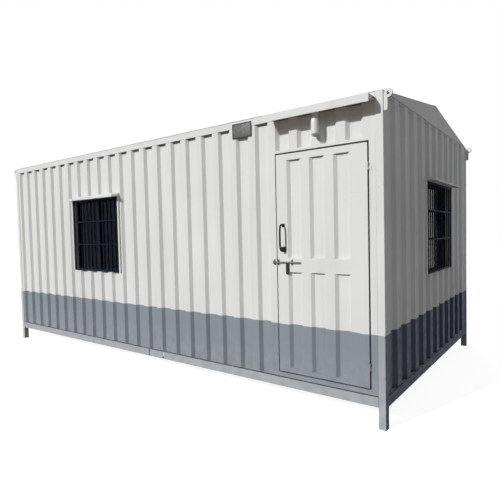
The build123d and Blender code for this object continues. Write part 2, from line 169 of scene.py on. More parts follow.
EVEN = (1, 1, 1)
DOWN_WALL = (1, 1, 0.05)
DOWN_ROOF = (1, 0.08, 1)
TRIM_LENGTHS = (1, 1, 0.2)
FLOOR_LENGTHS = (0.2, 3, 1)

# Normals: the share along an axis, or shared with the rounded edge, at which a mask starts and is full

DOWN_FROM, DOWN_FULL = -0.4, -0.8
ENDWAYS_FROM, ENDWAYS_FULL = 0.4, 0.5
EDGE_FROM, EDGE_FULL = 0.98, 0.80
BEVEL_SAMPLES = 4


class Finish:
    """One material's node tree, with short calls for the nodes that the finishes share."""

    def __init__(self, name, **sockets):
        self.material = bpy.data.materials.new(name)
        self.material.use_nodes = True
        self.tree = self.material.node_tree
        self.shader = self.tree.nodes["Principled BSDF"]
        self.place = self.tree.nodes.new("ShaderNodeTexCoord").outputs["Object"]
        for socket, value in sockets.items():
            self.put(socket.replace("_", " "), value)

    def put(self, socket, value):
        """Set or link one socket of the surface shader."""
        self.join(self.shader.inputs[socket], value)

    def join(self, socket, value):
        """Link a socket to another one, or set it to a constant."""
        if isinstance(value, bpy.types.NodeSocket):
            self.tree.links.new(value, socket)
        else:
            socket.default_value = value

    def node(self, kind, inputs, **settings):
        """Add one node, with its settings and inputs."""
        made = self.tree.nodes.new("ShaderNode" + kind)
        for key, value in settings.items():
            setattr(made, key, value)
        for key, value in inputs.items():
            self.join(made.inputs[key], value)
        return made

    def along(self, axis):
        """Place along one axis of the part."""
        return self.node("SeparateXYZ", {0: self.place}).outputs[axis]

    def noise(self, scale, detail, stretch):
        at = self.node("Mapping", {"Vector": self.place, "Scale": stretch}).outputs[0]
        return self.node("TexNoise", {"Vector": at, "Scale": scale, "Detail": detail}).outputs[0]

    def window(self, value, low, high, to_low=0.0, to_high=1.0):
        """The value's place between low and high, held inside."""
        return self.node("MapRange", {0: value, 1: low, 2: high, 3: to_low, 4: to_high}).outputs[0]

    def patches(self, pattern, least=0.0, most=1.0, stretch=EVEN):
        """Mask of a noise pattern, from least to most."""
        scale, detail, start, full = pattern
        return self.window(self.noise(scale, detail, stretch), start, full, least, most)

    def relief(self, pattern, normal=None, stretch=EVEN):
        """Normal bent by a relief pattern, over another normal if one is given."""
        scale, detail, depth, strength = pattern
        inputs = {"Height": self.noise(scale, detail, stretch), "Distance": depth, "Strength": strength}
        if normal is not None:
            inputs["Normal"] = normal
        return self.node("Bump", inputs).outputs[0]

    def between(self, value, low, high, fade):
        """One from low to high, with soft ends."""
        start = self.window(value, low - fade, low + fade)
        return self.times(start, self.window(value, high + fade, high - fade))

    def times(self, a, b):
        return self.node("Math", {0: a, 1: b}, operation="MULTIPLY").outputs[0]

    def plus(self, a, b):
        return self.node("Math", {0: a, 1: b}, operation="ADD").outputs[0]

    def size(self, value):
        """The value without its sign."""
        return self.node("Math", {0: value}, operation="ABSOLUTE").outputs[0]

    def all_of(self, *masks):
        """One where every mask is one."""
        return reduce(self.times, masks)

    def none_of(self, mask):
        """One where the mask is none."""
        return self.window(mask, 1.0, 0.0)

    def mix(self, share, a, b, blend="MIX"):
        made = self.node("Mix", {0: share, 6: a, 7: b}, data_type="RGBA", blend_type=blend)
        return made.outputs[2]

    def darken(self, colour, mask, tone, share=1.0):
        """Colour multiplied by a tone where the mask is."""
        return self.mix(self.times(mask, share), colour, tone, "MULTIPLY")

    def facing(self, axis):
        """How far a face looks along one axis."""
        normal = self.node("NewGeometry", {}).outputs["True Normal"]
        return self.node("SeparateXYZ", {0: normal}).outputs[axis]

    def facing_down(self):
        """One on faces that look down."""
        return self.window(self.facing("Z"), DOWN_FROM, DOWN_FULL)

    def on_end_wall(self):
        """One on the outer faces of the two end walls."""
        near = self.window(self.size(self.along("X")), POST_INNER_X, POST_INNER_X + END_FADE)
        return self.times(near, self.window(self.size(self.facing("X")), ENDWAYS_FROM, ENDWAYS_FULL))

    def valley_top(self):
        """Mask for painted shade at the tops of the long walls' valleys: under the top rails and under the
        front window.
        """
        x, y, z = (self.along(axis) for axis in "XYZ")
        aside = self.size(self.plus(y, -MIDDLE))
        valley = self.window(aside, WIDTH / 2 - VALLEY_FROM, WIDTH / 2 - VALLEY_DEEP)
        rail = self.all_of(self.between(z, RAIL_UNDER - SHADE_DROP, RAIL_UNDER, SHADE_FADE),
                           self.between(x, -POST_INNER_X, POST_INNER_X, SHADE_FADE))
        sill = self.all_of(self.between(z, SILL.z - SHADE_DROP, SILL.z, SHADE_FADE),
                           self.between(x, SILL.x, SILL_END.x, SHADE_FADE),
                           self.window(y, MIDDLE, FRONT_FACE))
        return self.times(valley, self.plus(rail, sill))

    def under_canopy(self):
        """One on the front wall in the shelter of the door canopy, where shade is painted."""
        x, y, z = (self.along(axis) for axis in "XYZ")
        outer, inner = FRONT_FACE + RAIL_SETBACK, FRONT_FACE + POST
        return self.all_of(self.between(x, SHELTER.x, SHELTER_END.x, SHELTER_FADE),
                           self.between(z, SHELTER_LOW, SHELTER_HIGH, SHELTER_FADE),
                           self.between(y, outer, inner, RAIL_SETBACK / 2))

    def soften(self, radius):
        """Normal with the CAD edges rounded, and a mask of those edges."""
        bevel = self.node("Bevel", {"Radius": radius}, samples=BEVEL_SAMPLES).outputs[0]
        flat = self.node("NewGeometry", {}).outputs["Normal"]
        turned = self.node("VectorMath", {0: bevel, 1: flat}, operation="DOT_PRODUCT").outputs["Value"]
        return bevel, self.window(turned, EDGE_FROM, EDGE_FULL)


# Finishes

METAL_BEND, METAL_LIGHTER = 0.002, 1.7
ROOF_BEND = 0.003
SPECK_SHARE = 0.15


def two_tone(f, upper, lower):
    """Upper colour down to a slightly ragged paint line, lower colour under it."""
    wander = f.patches(LINE_WAVES, least=-LINE_WANDER, most=LINE_WANDER)
    height = f.plus(f.along("Z"), wander)
    return f.mix(f.window(height, PAINT_LINE - LINE_FADE, PAINT_LINE + LINE_FADE), lower, upper)


def weathered(f, colour, dust):
    """Faded clouds, runs down the wall, and dust splashed up from the ground."""
    colour = f.darken(colour, f.patches(CLOUDS), FADED, share=0.35)
    colour = f.darken(colour, f.patches(RUNS, stretch=DOWN_WALL), STREAK, share=0.28)
    splash = f.times(f.window(f.along("Z"), SPLASH_TOP, SPLASH_FULL), f.patches(SPLASHES))
    return f.mix(f.times(splash, dust), colour, DUST)


def end_wall_dirt_and_shade(f, colour):
    """Grime and painted shade low on the end walls, deeper painted shade towards the back of the right one,
    and mud at the foot.
    """
    z = f.along("Z")
    grime_and_shade = f.times(f.on_end_wall(), f.window(z, PAINT_LINE + LINE_FADE, PAINT_LINE - LINE_FADE))
    # Grime and painted shade on the end walls under the paint line
    colour = f.darken(colour, grime_and_shade, END_GRIME_AND_SHADE)
    # Painted shade that deepens towards the back of the right end wall
    rear_shade = f.times(f.window(f.along("Y"), FRONT_FACE, BACK_FACE), f.window(f.along("X"), 0.0, POST))
    colour = f.darken(colour, f.times(grime_and_shade, rear_shade), REAR_SHADE)
    return f.darken(colour, f.times(f.on_end_wall(), f.window(z, MUD_HIGH, MUD_LOW)), MUD)


def long_wall_shade(f, colour):
    """Painted brownish shade in the shelter of the door canopy, and painted shade in the valley tops
    outside it.
    """
    sheltered = f.under_canopy()
    # Painted brownish shade under the door canopy
    colour = f.darken(colour, f.times(sheltered, f.patches(CANOPY_SHADE_PATCHES, least=0.5)), CANOPY_SHADE)
    # Painted shade in the valley tops
    return f.darken(colour, f.times(f.valley_top(), f.none_of(sheltered)), VALLEY_SHADE)


def chipped_and_rusty(f, colour, edges, rust):
    """Chips along the edges, and rust spots in some areas."""
    colour = f.darken(colour, f.times(edges, f.patches(CHIPS)), CHIPPED, share=0.45)
    spots = f.times(f.patches(RUST_SPOTS), f.patches(RUST_AREAS))
    return f.mix(f.times(spots, rust), colour, RUST)


def painted(name, upper, lower, rust=0.3, dust=0.35, bend=0.004, dents=0.003, underside_shade=None):
    """Worn paint over steel: one colour above the paint line, one below, and painted shade on undersides if
    given.
    """
    f = Finish(name, Specular_IOR_Level=0.08)
    colour = weathered(f, two_tone(f, upper, lower), dust)
    colour = long_wall_shade(f, end_wall_dirt_and_shade(f, colour))
    normal, edges = f.soften(bend)
    colour = chipped_and_rusty(f, colour, edges, rust)
    # Painted shade on faces that look down
    if underside_shade:
        shaded = f.times(f.facing_down(), f.patches(UNDERSIDE_PATCHES, least=0.55))
        colour = f.mix(shaded, colour, underside_shade)
    f.put("Base Color", colour)
    f.put("Roughness", f.patches(PAINT_SHEEN, least=0.45, most=0.65))
    peel = f.relief(PAINT_PEEL, normal)
    f.put("Normal", f.relief((DENT_SCALE, DENT_DETAIL, dents, DENT_STRENGTH), peel))
    return f.material


def dark_metal(name, colour, rubbed, rough=0.42, metal=0.5, gloss=0.25):
    """Painted, zinc coated or oxidised steel, rubbed at its edges."""
    f = Finish(name, Metallic=metal, Specular_IOR_Level=gloss)
    normal, edges = f.soften(METAL_BEND)
    lighter = [c * METAL_LIGHTER for c in colour[:3]] + [1]
    tone = f.mix(f.patches(METAL_CLOUDS), colour, lighter)
    f.put("Base Color", f.mix(f.times(edges, f.patches(RUBBING)), tone, rubbed))
    f.put("Roughness", f.patches(METAL_SHEEN, least=rough - 0.08, most=rough + 0.14))
    f.put("Normal", f.relief(METAL_GRAIN, normal))
    return f.material


def roof_metal(name):
    """Painted roof sheet, chalked by the sun, with dust runs down the slope."""
    f = Finish(name, Specular_IOR_Level=0.06)
    colour = f.mix(f.patches(CHALKING), ROOF_PAINT, ROOF_CHALK)
    colour = f.darken(colour, f.patches(ROOF_RUNS, stretch=DOWN_ROOF), ROOF_DUST, share=0.35)
    normal, edges = f.soften(ROOF_BEND)
    f.put("Base Color", f.darken(colour, edges, ROOF_WEAR, share=0.3))
    f.put("Roughness", f.patches(ROOF_SHEEN, least=0.42, most=0.62))
    f.put("Normal", f.relief(ROOF_WAVES, normal))
    return f.material


def board(name, light, dark, grain=EVEN):
    """Laminated board with a faint cloudy grain."""
    f = Finish(name, Specular_IOR_Level=0.3)
    colour = f.mix(f.patches(BOARD_CLOUDS, stretch=grain), light, dark)
    f.put("Base Color", f.mix(f.times(f.patches(BOARD_SPECKS), SPECK_SHARE), colour, dark))
    f.put("Roughness", f.patches(SMOOTH_SHEEN, least=0.42, most=0.60))
    f.put("Normal", f.relief(BOARD_GRAIN, stretch=grain))
    return f.material


def tinted_glass(name):
    """Dark tinted pane with a film of dust."""
    f = Finish(name, Base_Color=GLASS_TINT, Specular_Tint=GLASS_SHINE, Transmission_Weight=1.0, IOR=1.15)
    f.put("Roughness", f.patches(GLASS_FILM, least=0.02, most=0.10))
    return f.material


def plastic(name, colour, rough=0.35):
    """Moulded plastic or rubber, a little yellowed in patches."""
    f = Finish(name, Specular_IOR_Level=0.4)
    f.put("Base Color", f.darken(colour, f.patches(YELLOWING), YELLOWED, share=0.2))
    f.put("Roughness", f.patches(SMOOTH_SHEEN, least=rough - 0.08, most=rough + 0.12))
    f.put("Normal", f.relief(PLASTIC_GRAIN))
    return f.material


# Painted steel; the underside colours are painted shade on faces that look down
wall_paint = painted("wall_paint_finish", WHITE_PAINT, GREY_PAINT)
door_paint = painted("door_paint_finish", WHITE_PAINT, GREY_PAINT, dents=0.002,
                     underside_shade=(0.24, 0.24, 0.23, 1))
frame_paint = painted("frame_paint_finish", WHITE_PAINT, RAIL_GREY, rust=0.5, dust=0.7)
pale_post_paint = painted("pale_post_finish", WHITE_PAINT, PALE_PRIMER, rust=0.6, dust=0.4)
rail_paint = painted("rail_paint_finish", RAIL_GREY, RAIL_GREY, rust=0.7, dust=0.6)
trim_paint = painted("trim_paint_finish", WHITE_PAINT, WHITE_PAINT, rust=0.25, bend=0.002, dents=0.001,
                     underside_shade=(0.12, 0.11, 0.10, 1))
canopy_paint = painted("canopy_paint_finish", WHITE_PAINT, WHITE_PAINT, bend=0.002, dents=0.001,
                       underside_shade=(0.34, 0.25, 0.19, 1))
hood_paint = painted("hood_paint_finish", WHITE_PAINT, WHITE_PAINT, rust=0.25, bend=0.002, dents=0.001,
                     underside_shade=(0.06, 0.06, 0.065, 1))
roof_paint = roof_metal("roof_finish")

# Dark and bare steel
black_steel = dark_metal("dark_steel_finish", (0.014, 0.014, 0.015, 1), (0.10, 0.095, 0.09, 1))
zinc_steel = dark_metal("zinc_finish", (0.13, 0.13, 0.135, 1), (0.30, 0.30, 0.30, 1), rough=0.45)
grille_steel = dark_metal("grille_finish", (0.0055, 0.0085, 0.021, 1), (0.016, 0.020, 0.034, 1),
                          rough=0.6, metal=0.0, gloss=0.05)
sash_finish = dark_metal("sash_finish", (0.007, 0.010, 0.021, 1), (0.020, 0.024, 0.036, 1),
                         rough=0.5, metal=0.0, gloss=0.06)
plate_steel = dark_metal("plate_finish", (0.090, 0.094, 0.090, 1), BARE_STEEL, rough=0.5, metal=0.2)
screw_steel = dark_metal("screw_finish", (0.045, 0.045, 0.048, 1), BARE_STEEL, rough=0.5)

# Glass, rubber, plastic and boards
glass = tinted_glass("window_glass_finish")
rubber = plastic("seal_finish", (0.018, 0.019, 0.021, 1), rough=0.7)
lamp_white = plastic("lamp_finish", (0.74, 0.74, 0.72, 1))
# The lens's mid grey is painted shade under the lamp; the lens itself is white like the shell
lamp_lens = plastic("lamp_lens_finish", (0.34, 0.34, 0.33, 1), rough=0.25)
lining = board("lining_finish", (0.70, 0.68, 0.62, 1), (0.62, 0.60, 0.55, 1))
trim_wood = board("inner_trim_finish", (0.60, 0.57, 0.50, 1), (0.50, 0.47, 0.41, 1), TRIM_LENGTHS)
flooring = board("floor_finish", (0.30, 0.24, 0.18, 1), (0.22, 0.17, 0.12, 1), FLOOR_LENGTHS)

# Which finish each CAD node wears, by a word in its name

FINISH_OF = {
    "bottom_rail": rail_paint, "floor_joists": rail_paint, "floor_deck": flooring,
    "post": frame_paint, "post_front_left": pale_post_paint, "top_rail": trim_paint, "lug": trim_paint,
    "wall": wall_paint, "lining": lining, "ceiling": lining,
    "gable": trim_paint, "roof": roof_paint, "ridge_cap": roof_paint,
    "window_frames": trim_paint, "window_sashes": sash_finish, "window_glass": glass,
    "window_hoods": hood_paint, "door_frame": wall_paint, "door_canopy": canopy_paint,
    "door_lamp": lamp_white, "door_leaf": door_paint, "door_handle": black_steel,
    "frame_hinges": wall_paint, "door_hinges": door_paint,
    "bolt_keeper": zinc_steel, "bolt_brackets": zinc_steel, "door_bolt": black_steel,
}


def finish_for(node):
    """The finish whose word is in the node's name; the longest word wins."""
    return FINISH_OF[max((word for word in FINISH_OF if word in node), key=len)]


for node_name, node_object in nodes.items():
    for material_slot in node_object.material_slots:
        material_slot.material = finish_for(node_name)

# Mesh forms

SHARP_ANGLE = math.radians(35)
EDGE, THIN_EDGE, EDGE_SHARE = 0.0015, 0.0008, 0.4
UPWARDS, OUTWARDS = (0, 0, 1), (0, -1, 0)
SCREW = ((0.0088, -0.001), (0.0088, 0.0012), (0.0070, 0.0034), (0.0035, 0.0046), (0.0006, 0.0048))
RIVET = ((0.0055, -0.001), (0.0055, 0.0006), (0.0042, 0.0024), (0.0018, 0.0032), (0.0004, 0.0033))
SCREW_SIDES, RIVET_SIDES = 10, 12


def circle(sides):
    """Angles of points spread evenly round a circle."""
    return [2 * math.pi * n / sides for n in range(sides)]


class Shape:
    """A mesh under way. Each call adds one closed form; put() turns the lot into a piece."""

    def __init__(self, place=Matrix()):
        self.bm = bmesh.new()
        self.place = place

    def add(self, part, local=Matrix()):
        """Take in a finished form, moved to its place."""
        mesh = bpy.data.meshes.new("part")
        part.to_mesh(mesh)
        part.free()
        mesh.transform(self.place @ local)
        self.bm.from_mesh(mesh)
        bpy.data.meshes.remove(mesh)

    def bar(self, low, high, edge=EDGE):
        """Box with rounded edges."""
        low, high = Vector(low), Vector(high)
        size = high - low
        part = bmesh.new()
        spot = Matrix.Translation((low + high) / 2) @ Matrix.Diagonal((*size, 1))
        bmesh.ops.create_cube(part, size=1.0, matrix=spot)
        bmesh.ops.bevel(part, geom=part.edges[:], offset=min(edge, min(size) * EDGE_SHARE), segments=2,
                        profile=0.5, affect="EDGES")
        self.add(part)

    def skin(self, rings, local=Matrix()):
        """Closed skin over rings of points, with flat ends."""
        part = bmesh.new()
        made = [[part.verts.new(p) for p in ring] for ring in rings]
        for a, b in zip(made, made[1:]):
            for i in range(len(a)):
                j = (i + 1) % len(a)
                part.faces.new((a[i], a[j], b[j], b[i]))
        part.faces.new(made[0][::-1])
        part.faces.new(made[-1])
        bmesh.ops.recalc_face_normals(part, faces=part.faces[:])
        self.add(part, local)

    def tube(self, points, radius, sides):
        """Round bar along a path."""
        points = [Vector(p) for p in points]
        ways = [(b - a).normalized() for a, b in zip(points, points[1:])]
        ways = [ways[0]] + [(a + b).normalized() for a, b in zip(ways, ways[1:])] + [ways[-1]]
        side = ways[0].orthogonal().normalized()
        rings = []
        for point, way in zip(points, ways):
            side = (side - way * side.dot(way)).normalized()
            up = way.cross(side)
            rings.append([point + radius * (math.cos(t) * side + math.sin(t) * up) for t in circle(sides)])
        self.skin(rings)

    def turned(self, profile, at, sides, axis=UPWARDS):
        """Lathe form: (radius, height) pairs up an axis through a point."""
        rings = [[(r * math.cos(t), r * math.sin(t), h) for t in circle(sides)] for r, h in profile]
        turn = Vector(UPWARDS).rotation_difference(Vector(axis)).to_matrix().to_4x4()
        self.skin(rings, Matrix.Translation(at) @ turn)

    def rivet(self, at):
        """Domed rivet on a face that looks outwards."""
        self.turned(RIVET, at, RIVET_SIDES, OUTWARDS)

    def plate(self, outline, thickness, at):
        """Flat outline of (across, up) points, given a thickness along -Y."""
        rings = [[(x, y, z) for x, z in outline] for y in (0, -thickness)]
        self.skin(rings, Matrix.Translation(at))

    def put(self, name, body, slot, finish, replaced=()):
        """Make the piece: its mesh, finish, body and the CAD nodes that it stands for. The slot is not
        used.
        """
        mesh = bpy.data.meshes.new(name)
        self.bm.to_mesh(mesh)
        self.bm.free()
        mesh.materials.append(finish)
        for face in mesh.polygons:
            face.use_smooth = True
        mesh.set_sharp_from_angle(angle=SHARP_ANGLE)
        piece = bpy.data.objects.new(name, mesh)
        bpy.context.scene.collection.objects.link(piece)
        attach(piece, body)
        if replaced:
            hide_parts(*replaced)


# Window grilles

GRILLE_WALLS = ("front", "right", "left")
GRILLE_FLAT = 0.022
GRILLE_FRONT, GRILLE_BACK = -0.004, 0.004
GRILLE_BARS, GRILLE_BAR_RADIUS, GRILLE_BAR_SIDES, GRILLE_BAR_INSET = 11, 0.0055, 8, 0.004
CROSS_LEVELS, CROSS_HALF, CROSS_GAUGE = (1.505, 1.805), 0.008, 0.005


def make_grille(wall):
    """Welded grille of flats and round bars, set between the window jambs."""
    low, high = box_on_wall("window_sashes", wall)
    a, b, z0, z1 = low.x, high.x, low.z, high.z
    inner_a, inner_b = a + GRILLE_FLAT, b - GRILLE_FLAT
    front, back = GRILLE_FRONT, GRILLE_BACK
    shape = Shape(WALLS[wall])
    for u0, u1 in ((a, inner_a), (inner_b, b)):
        shape.bar((u0, front, z0), (u1, back, z1))
    for under, over in ((z0, z0 + GRILLE_FLAT), (z1 - GRILLE_FLAT, z1)):
        shape.bar((inner_a, front, under), (inner_b, back, over))
    for z in CROSS_LEVELS:
        shape.bar((inner_a, front, z - CROSS_HALF), (inner_b, front + CROSS_GAUGE, z + CROSS_HALF))
    v = front + CROSS_GAUGE + GRILLE_BAR_RADIUS
    for n in range(1, GRILLE_BARS + 1):
        u = a + (b - a) * n / (GRILLE_BARS + 1)
        ends = [(u, v, z0 + GRILLE_BAR_INSET), (u, v, z1 - GRILLE_BAR_INSET)]
        shape.tube(ends, GRILLE_BAR_RADIUS, GRILLE_BAR_SIDES)
    shape.put(wall + "_window_grille", "cabin", "dark_steel", grille_steel)


for grille_wall in GRILLE_WALLS:
    make_grille(grille_wall)

# Name plate, left bare

PLATE_LEFT, PLATE_RIGHT = 4.558, 4.796
PLATE_LOW, PLATE_HIGH = 2.529, 2.673
PLATE_GAUGE, PLATE_RIM, RIM_PROUD = 0.0025, 0.010, 0.0015
PLATE_RIVET = 0.024


def make_name_plate():
    """Bare plate with two rivets, and a raised dark rim round it."""
    plate, rim = Shape(WALLS["front"]), Shape(WALLS["front"])
    back = RAIL_SETBACK
    face = back - PLATE_GAUGE
    front = face - RIM_PROUD
    plate.bar((PLATE_LEFT, face, PLATE_LOW), (PLATE_RIGHT, back, PLATE_HIGH), THIN_EDGE)
    for u in (PLATE_LEFT + PLATE_RIVET, PLATE_RIGHT - PLATE_RIVET):
        plate.rivet((u, face, PLATE_HIGH - PLATE_RIVET))
    for z0, z1 in ((PLATE_LOW, PLATE_LOW + PLATE_RIM), (PLATE_HIGH - PLATE_RIM, PLATE_HIGH)):
        rim.bar((PLATE_LEFT, front, z0), (PLATE_RIGHT, face, z1), THIN_EDGE)
    for u0, u1 in ((PLATE_LEFT, PLATE_LEFT + PLATE_RIM), (PLATE_RIGHT - PLATE_RIM, PLATE_RIGHT)):
        rim.bar((u0, front, PLATE_LOW + PLATE_RIM), (u1, face, PLATE_HIGH - PLATE_RIM), THIN_EDGE)
    plate.put("name_plate", "cabin", "dark_steel", plate_steel)
    rim.put("name_plate_rim", "cabin", "dark_steel", black_steel)


make_name_plate()

# Dark joint between the base rails and the walls

JOINT_HALF, JOINT_PROUD, JOINT_SUNK, JOINT_CLEAR = 0.0045, 0.0015, 0.003, 0.001


def make_base_joint():
    """One strip of sealant along each wall, from post to post."""
    shape = Shape()
    start = POST + JOINT_CLEAR
    for wall, place in WALLS.items():
        shape.place = place
        shape.bar((start, RAIL_SETBACK - JOINT_PROUD, RAIL_TOP - JOINT_HALF),
                  (wall_length(wall) - start, RAIL_SETBACK + JOINT_SUNK, RAIL_TOP + JOINT_HALF))
    shape.put("base_joint_seal", "cabin", "dark_steel", rubber)


make_base_joint()

# Lamp under the canopy

LAMP_SIDES = 36
LAMP_PROFILE = (
    (0.030, 0.0), (0.030, -0.008), (0.0245, -0.012), (0.0240, -0.058), (0.0265, -0.070),
    (0.0320, -0.084), (0.0352, -0.100), (0.0362, -0.125), (0.0365, -0.195), (0.0360, -0.206),
    (0.0340, -0.216),
)
LENS_PROFILE = (
    (0.0335, -0.2155), (0.0325, -0.219), (0.0290, -0.226), (0.0230, -0.233), (0.0130, -0.239),
    (0.0010, -0.242),
)


def make_lamp():
    """Lamp on a short neck that hangs from the canopy, and the lens that rounds its end."""
    low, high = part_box("door_lamp")
    at = ((low.x + high.x) / 2, (low.y + high.y) / 2, high.z)
    shell, lens = Shape(), Shape()
    shell.turned(LAMP_PROFILE, at, LAMP_SIDES)
    lens.turned(LENS_PROFILE, at, LAMP_SIDES)
    shell.put("lamp_shell", "cabin", "lamp_shell", lamp_white, ["door_lamp"])
    lens.put("lamp_lens", "cabin", "lamp_shell", lamp_lens)


make_lamp()

# Door handle. Each foot: distance in from the bow's end, half height, half width, thickness

HANDLE_BAR, HANDLE_SIDES, HANDLE_STEPS = 0.009, 14, 28
BOW_SQUARENESS = 0.42
LOWER_FOOT = (0.014, 0.024, 0.022, 0.012)
UPPER_FOOT = (0.006, 0.016, 0.014, 0.006)
FOOT_EDGE = 0.004


def bow_path(u, reach, middle, half):
    """Points along the bow, from its lower foot out and up to its upper foot."""
    path = []
    for n in range(HANDLE_STEPS + 1):
        a = math.pi * n / HANDLE_STEPS
        along = math.copysign(abs(math.cos(a)) ** BOW_SQUARENESS, math.cos(a))
        path.append((u, DOOR_FACE - reach * math.sin(a) ** BOW_SQUARENESS, middle - half * along))
    return path


def make_handle():
    """Bow handle: a round bar swept out from two foot plates, the lower one larger."""
    low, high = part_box("door_handle")
    u = (low.x + high.x) / 2
    reach = DOOR_FACE - low.y - HANDLE_BAR
    middle, half = (low.z + high.z) / 2, (high.z - low.z) / 2 - HANDLE_BAR
    shape = Shape()
    shape.tube(bow_path(u, reach, middle, half), HANDLE_BAR, HANDLE_SIDES)
    for way, (inset, tall, wide, thick) in ((-1, LOWER_FOOT), (1, UPPER_FOOT)):
        z = middle + way * (half - inset)
        shape.bar((u - wide, DOOR_FACE - thick, z - tall), (u + wide, DOOR_FACE, z + tall), FOOT_EDGE)
        for side in (-tall / 2, tall / 2):
            shape.rivet((u, DOOR_FACE - thick, z + side))
    shape.put("bow_handle", "door", "dark_steel", black_steel, ["door_handle"])


make_handle()

# Door bolt

BOLT_RADIUS, BOLT_CHAMFER, BOLT_SIDES = 0.008, 0.003, 20
ALONG_BOLT = (1, 0, 0)
TAIL_GAUGE, TAIL_STEPS, TAIL_FOOT = 0.006, 8, 0.001


def tail_span():
    """Left and right edge of the bolt's tail, from the low corners of its node."""
    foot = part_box("door_bolt")[0].z + TAIL_FOOT
    across = [v.co.x for v in nodes["door_bolt"].data.vertices if v.co.z < foot]
    return min(across), max(across)


def make_bolt():
    """Rod with chamfered ends and a rounded tail that hangs from it."""
    low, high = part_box("door_bolt")
    z, y = high.z - BOLT_RADIUS, (low.y + high.y) / 2
    length = high.x - low.x
    r, c = BOLT_RADIUS, BOLT_CHAMFER
    rod, tail = Shape(), Shape()
    ends = ((r - c, 0), (r, c), (r, length - c), (r - c, length))
    rod.turned(ends, (low.x, y, z), BOLT_SIDES, ALONG_BOLT)
    rod.put("bolt_rod", "bolt", "dark_steel", zinc_steel, ["door_bolt"])
    tail_low, tail_high = tail_span()
    half, middle = (tail_high - tail_low) / 2, (tail_low + tail_high) / 2
    foot = low.z - z + half
    turns = [math.pi + math.pi * n / TAIL_STEPS for n in range(TAIL_STEPS + 1)]
    arc = [(half * math.cos(a), foot + half * math.sin(a)) for a in turns]
    tail.plate([(half, 0), (-half, 0)] + arc, TAIL_GAUGE, (middle, y + TAIL_GAUGE / 2, z))
    tail.rivet((middle, y - TAIL_GAUGE / 2, low.z + half))
    tail.put("bolt_tail", "bolt", "dark_steel", black_steel)


make_bolt()

# Plates under the straps that hold the bolt

STRAP_GAP = 0.02
STRAP_HALF_HEIGHT, STRAP_HALF_WIDTH, STRAP_GAUGE, STRAP_RIVET = 0.027, 0.010, 0.002, 0.021


def strap_middles(node):
    """Middles along X of the separate straps in a node."""
    across = sorted(v.co.x for v in nodes[node].data.vertices)
    groups = [[across[0]]]
    for x in across[1:]:
        if x - groups[-1][-1] > STRAP_GAP:
            groups.append([])
        groups[-1].append(x)
    return [(g[0] + g[-1]) / 2 for g in groups]


def make_strap_plates(name, node, body):
    """A foot plate with two rivets under each strap."""
    low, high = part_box(node)
    z = (low.z + high.z) / 2
    front = DOOR_FACE - STRAP_GAUGE
    shape = Shape()
    for x in strap_middles(node):
        shape.bar((x - STRAP_HALF_WIDTH, front, z - STRAP_HALF_HEIGHT),
                  (x + STRAP_HALF_WIDTH, DOOR_FACE, z + STRAP_HALF_HEIGHT), THIN_EDGE)
        for side in (-STRAP_RIVET, STRAP_RIVET):
            shape.rivet((x, front, z + side))
    shape.put(name, body, "dark_steel", zinc_steel)


make_strap_plates("bolt_strap_plates", "bolt_brackets", "door")
make_strap_plates("keeper_plate", "bolt_keeper", "cabin")

# Rubber seals round the door

DOOR_GAP = 0.009
SEAL_GAUGE, SEAL_EDGE = 0.005, 0.0006
SEAL_FRONT, SEAL_BACK = DOOR_FACE + 0.0015, DOOR_FACE + 0.036
SEAL_LIP, LIP_FRONT = 0.005, DOOR_FACE - 0.0008


def make_door_seals():
    """Seals in the gap, lips on the frame at head and hinge side, and a seal on the leaf's hinge edge."""
    low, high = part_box("door_leaf")
    left, right = low.x - DOOR_GAP, high.x + DOOR_GAP
    sill, head = low.z - DOOR_GAP, high.z + DOOR_GAP
    shape, edge = Shape(), Shape()
    shape.bar((left, SEAL_FRONT, sill), (left + SEAL_GAUGE, SEAL_BACK, head), SEAL_EDGE)
    for z in (sill, head - SEAL_GAUGE):
        shape.bar((left + SEAL_GAUGE, SEAL_FRONT, z), (right, SEAL_BACK, z + SEAL_GAUGE), SEAL_EDGE)
    shape.bar((left, LIP_FRONT, head), (right + SEAL_LIP, DOOR_FACE, head + SEAL_LIP), SEAL_EDGE)
    shape.bar((right, LIP_FRONT, low.z), (right + SEAL_LIP, DOOR_FACE, head), SEAL_EDGE)
    edge.bar((high.x, SEAL_FRONT, low.z), (high.x + SEAL_GAUGE, SEAL_BACK, high.z), SEAL_EDGE)
    shape.put("door_frame_seal", "cabin", "dark_steel", rubber)
    edge.put("door_edge_seal", "door", "dark_steel", rubber)


make_door_seals()

# Fillers that close the valleys of the end sheets under the gables

FILLER_HEIGHT, FILLER_CLEAR = 0.014, 0.001


def make_gable_fillers():
    """One strip along the top of each end sheet, just behind its ribs' faces."""
    shape = Shape()
    under, over = EAVE - FILLER_HEIGHT, EAVE - FILLER_CLEAR
    for wall in ("right", "left"):
        low, high = box_on_wall(wall + "_wall", wall)
        shape.place = WALLS[wall]
        shape.bar((low.x, low.y + FILLER_CLEAR, under), (high.x, high.y, over))
    shape.put("gable_fillers", "cabin", "wall_paint", wall_paint)


make_gable_fillers()

# Roof laps and fixings

ROOF_GAUGE, EAVE_FLANGE, RIDGE_CAP = 0.003, 0.040, 0.120
LAP_SPACING, LAP_HALF, LAP_GAUGE = 1.20, 0.030, 0.003
LAP_START, LAP_SUNK, LAP_EDGE = 0.01, 0.001, 0.001
FIXING_SPACING, FIXING_ASIDE, FIXING_INSET, EAVE_FIXING = 0.30, 0.016, 0.05, 0.022


def make_lap(laps, heads, u, reach):
    """One cover strip up the slope, with two rows of fixings."""
    laps.bar((u - LAP_HALF, LAP_START, -LAP_SUNK), (u + LAP_HALF, reach, LAP_GAUGE), LAP_EDGE)
    steps = int(reach / FIXING_SPACING)
    for n in range(steps + 1):
        up = FIXING_INSET + n * (reach - 2 * FIXING_INSET) / steps
        for side in (-FIXING_ASIDE, FIXING_ASIDE):
            heads.turned(SCREW, (u + side, up, LAP_GAUGE), SCREW_SIDES)


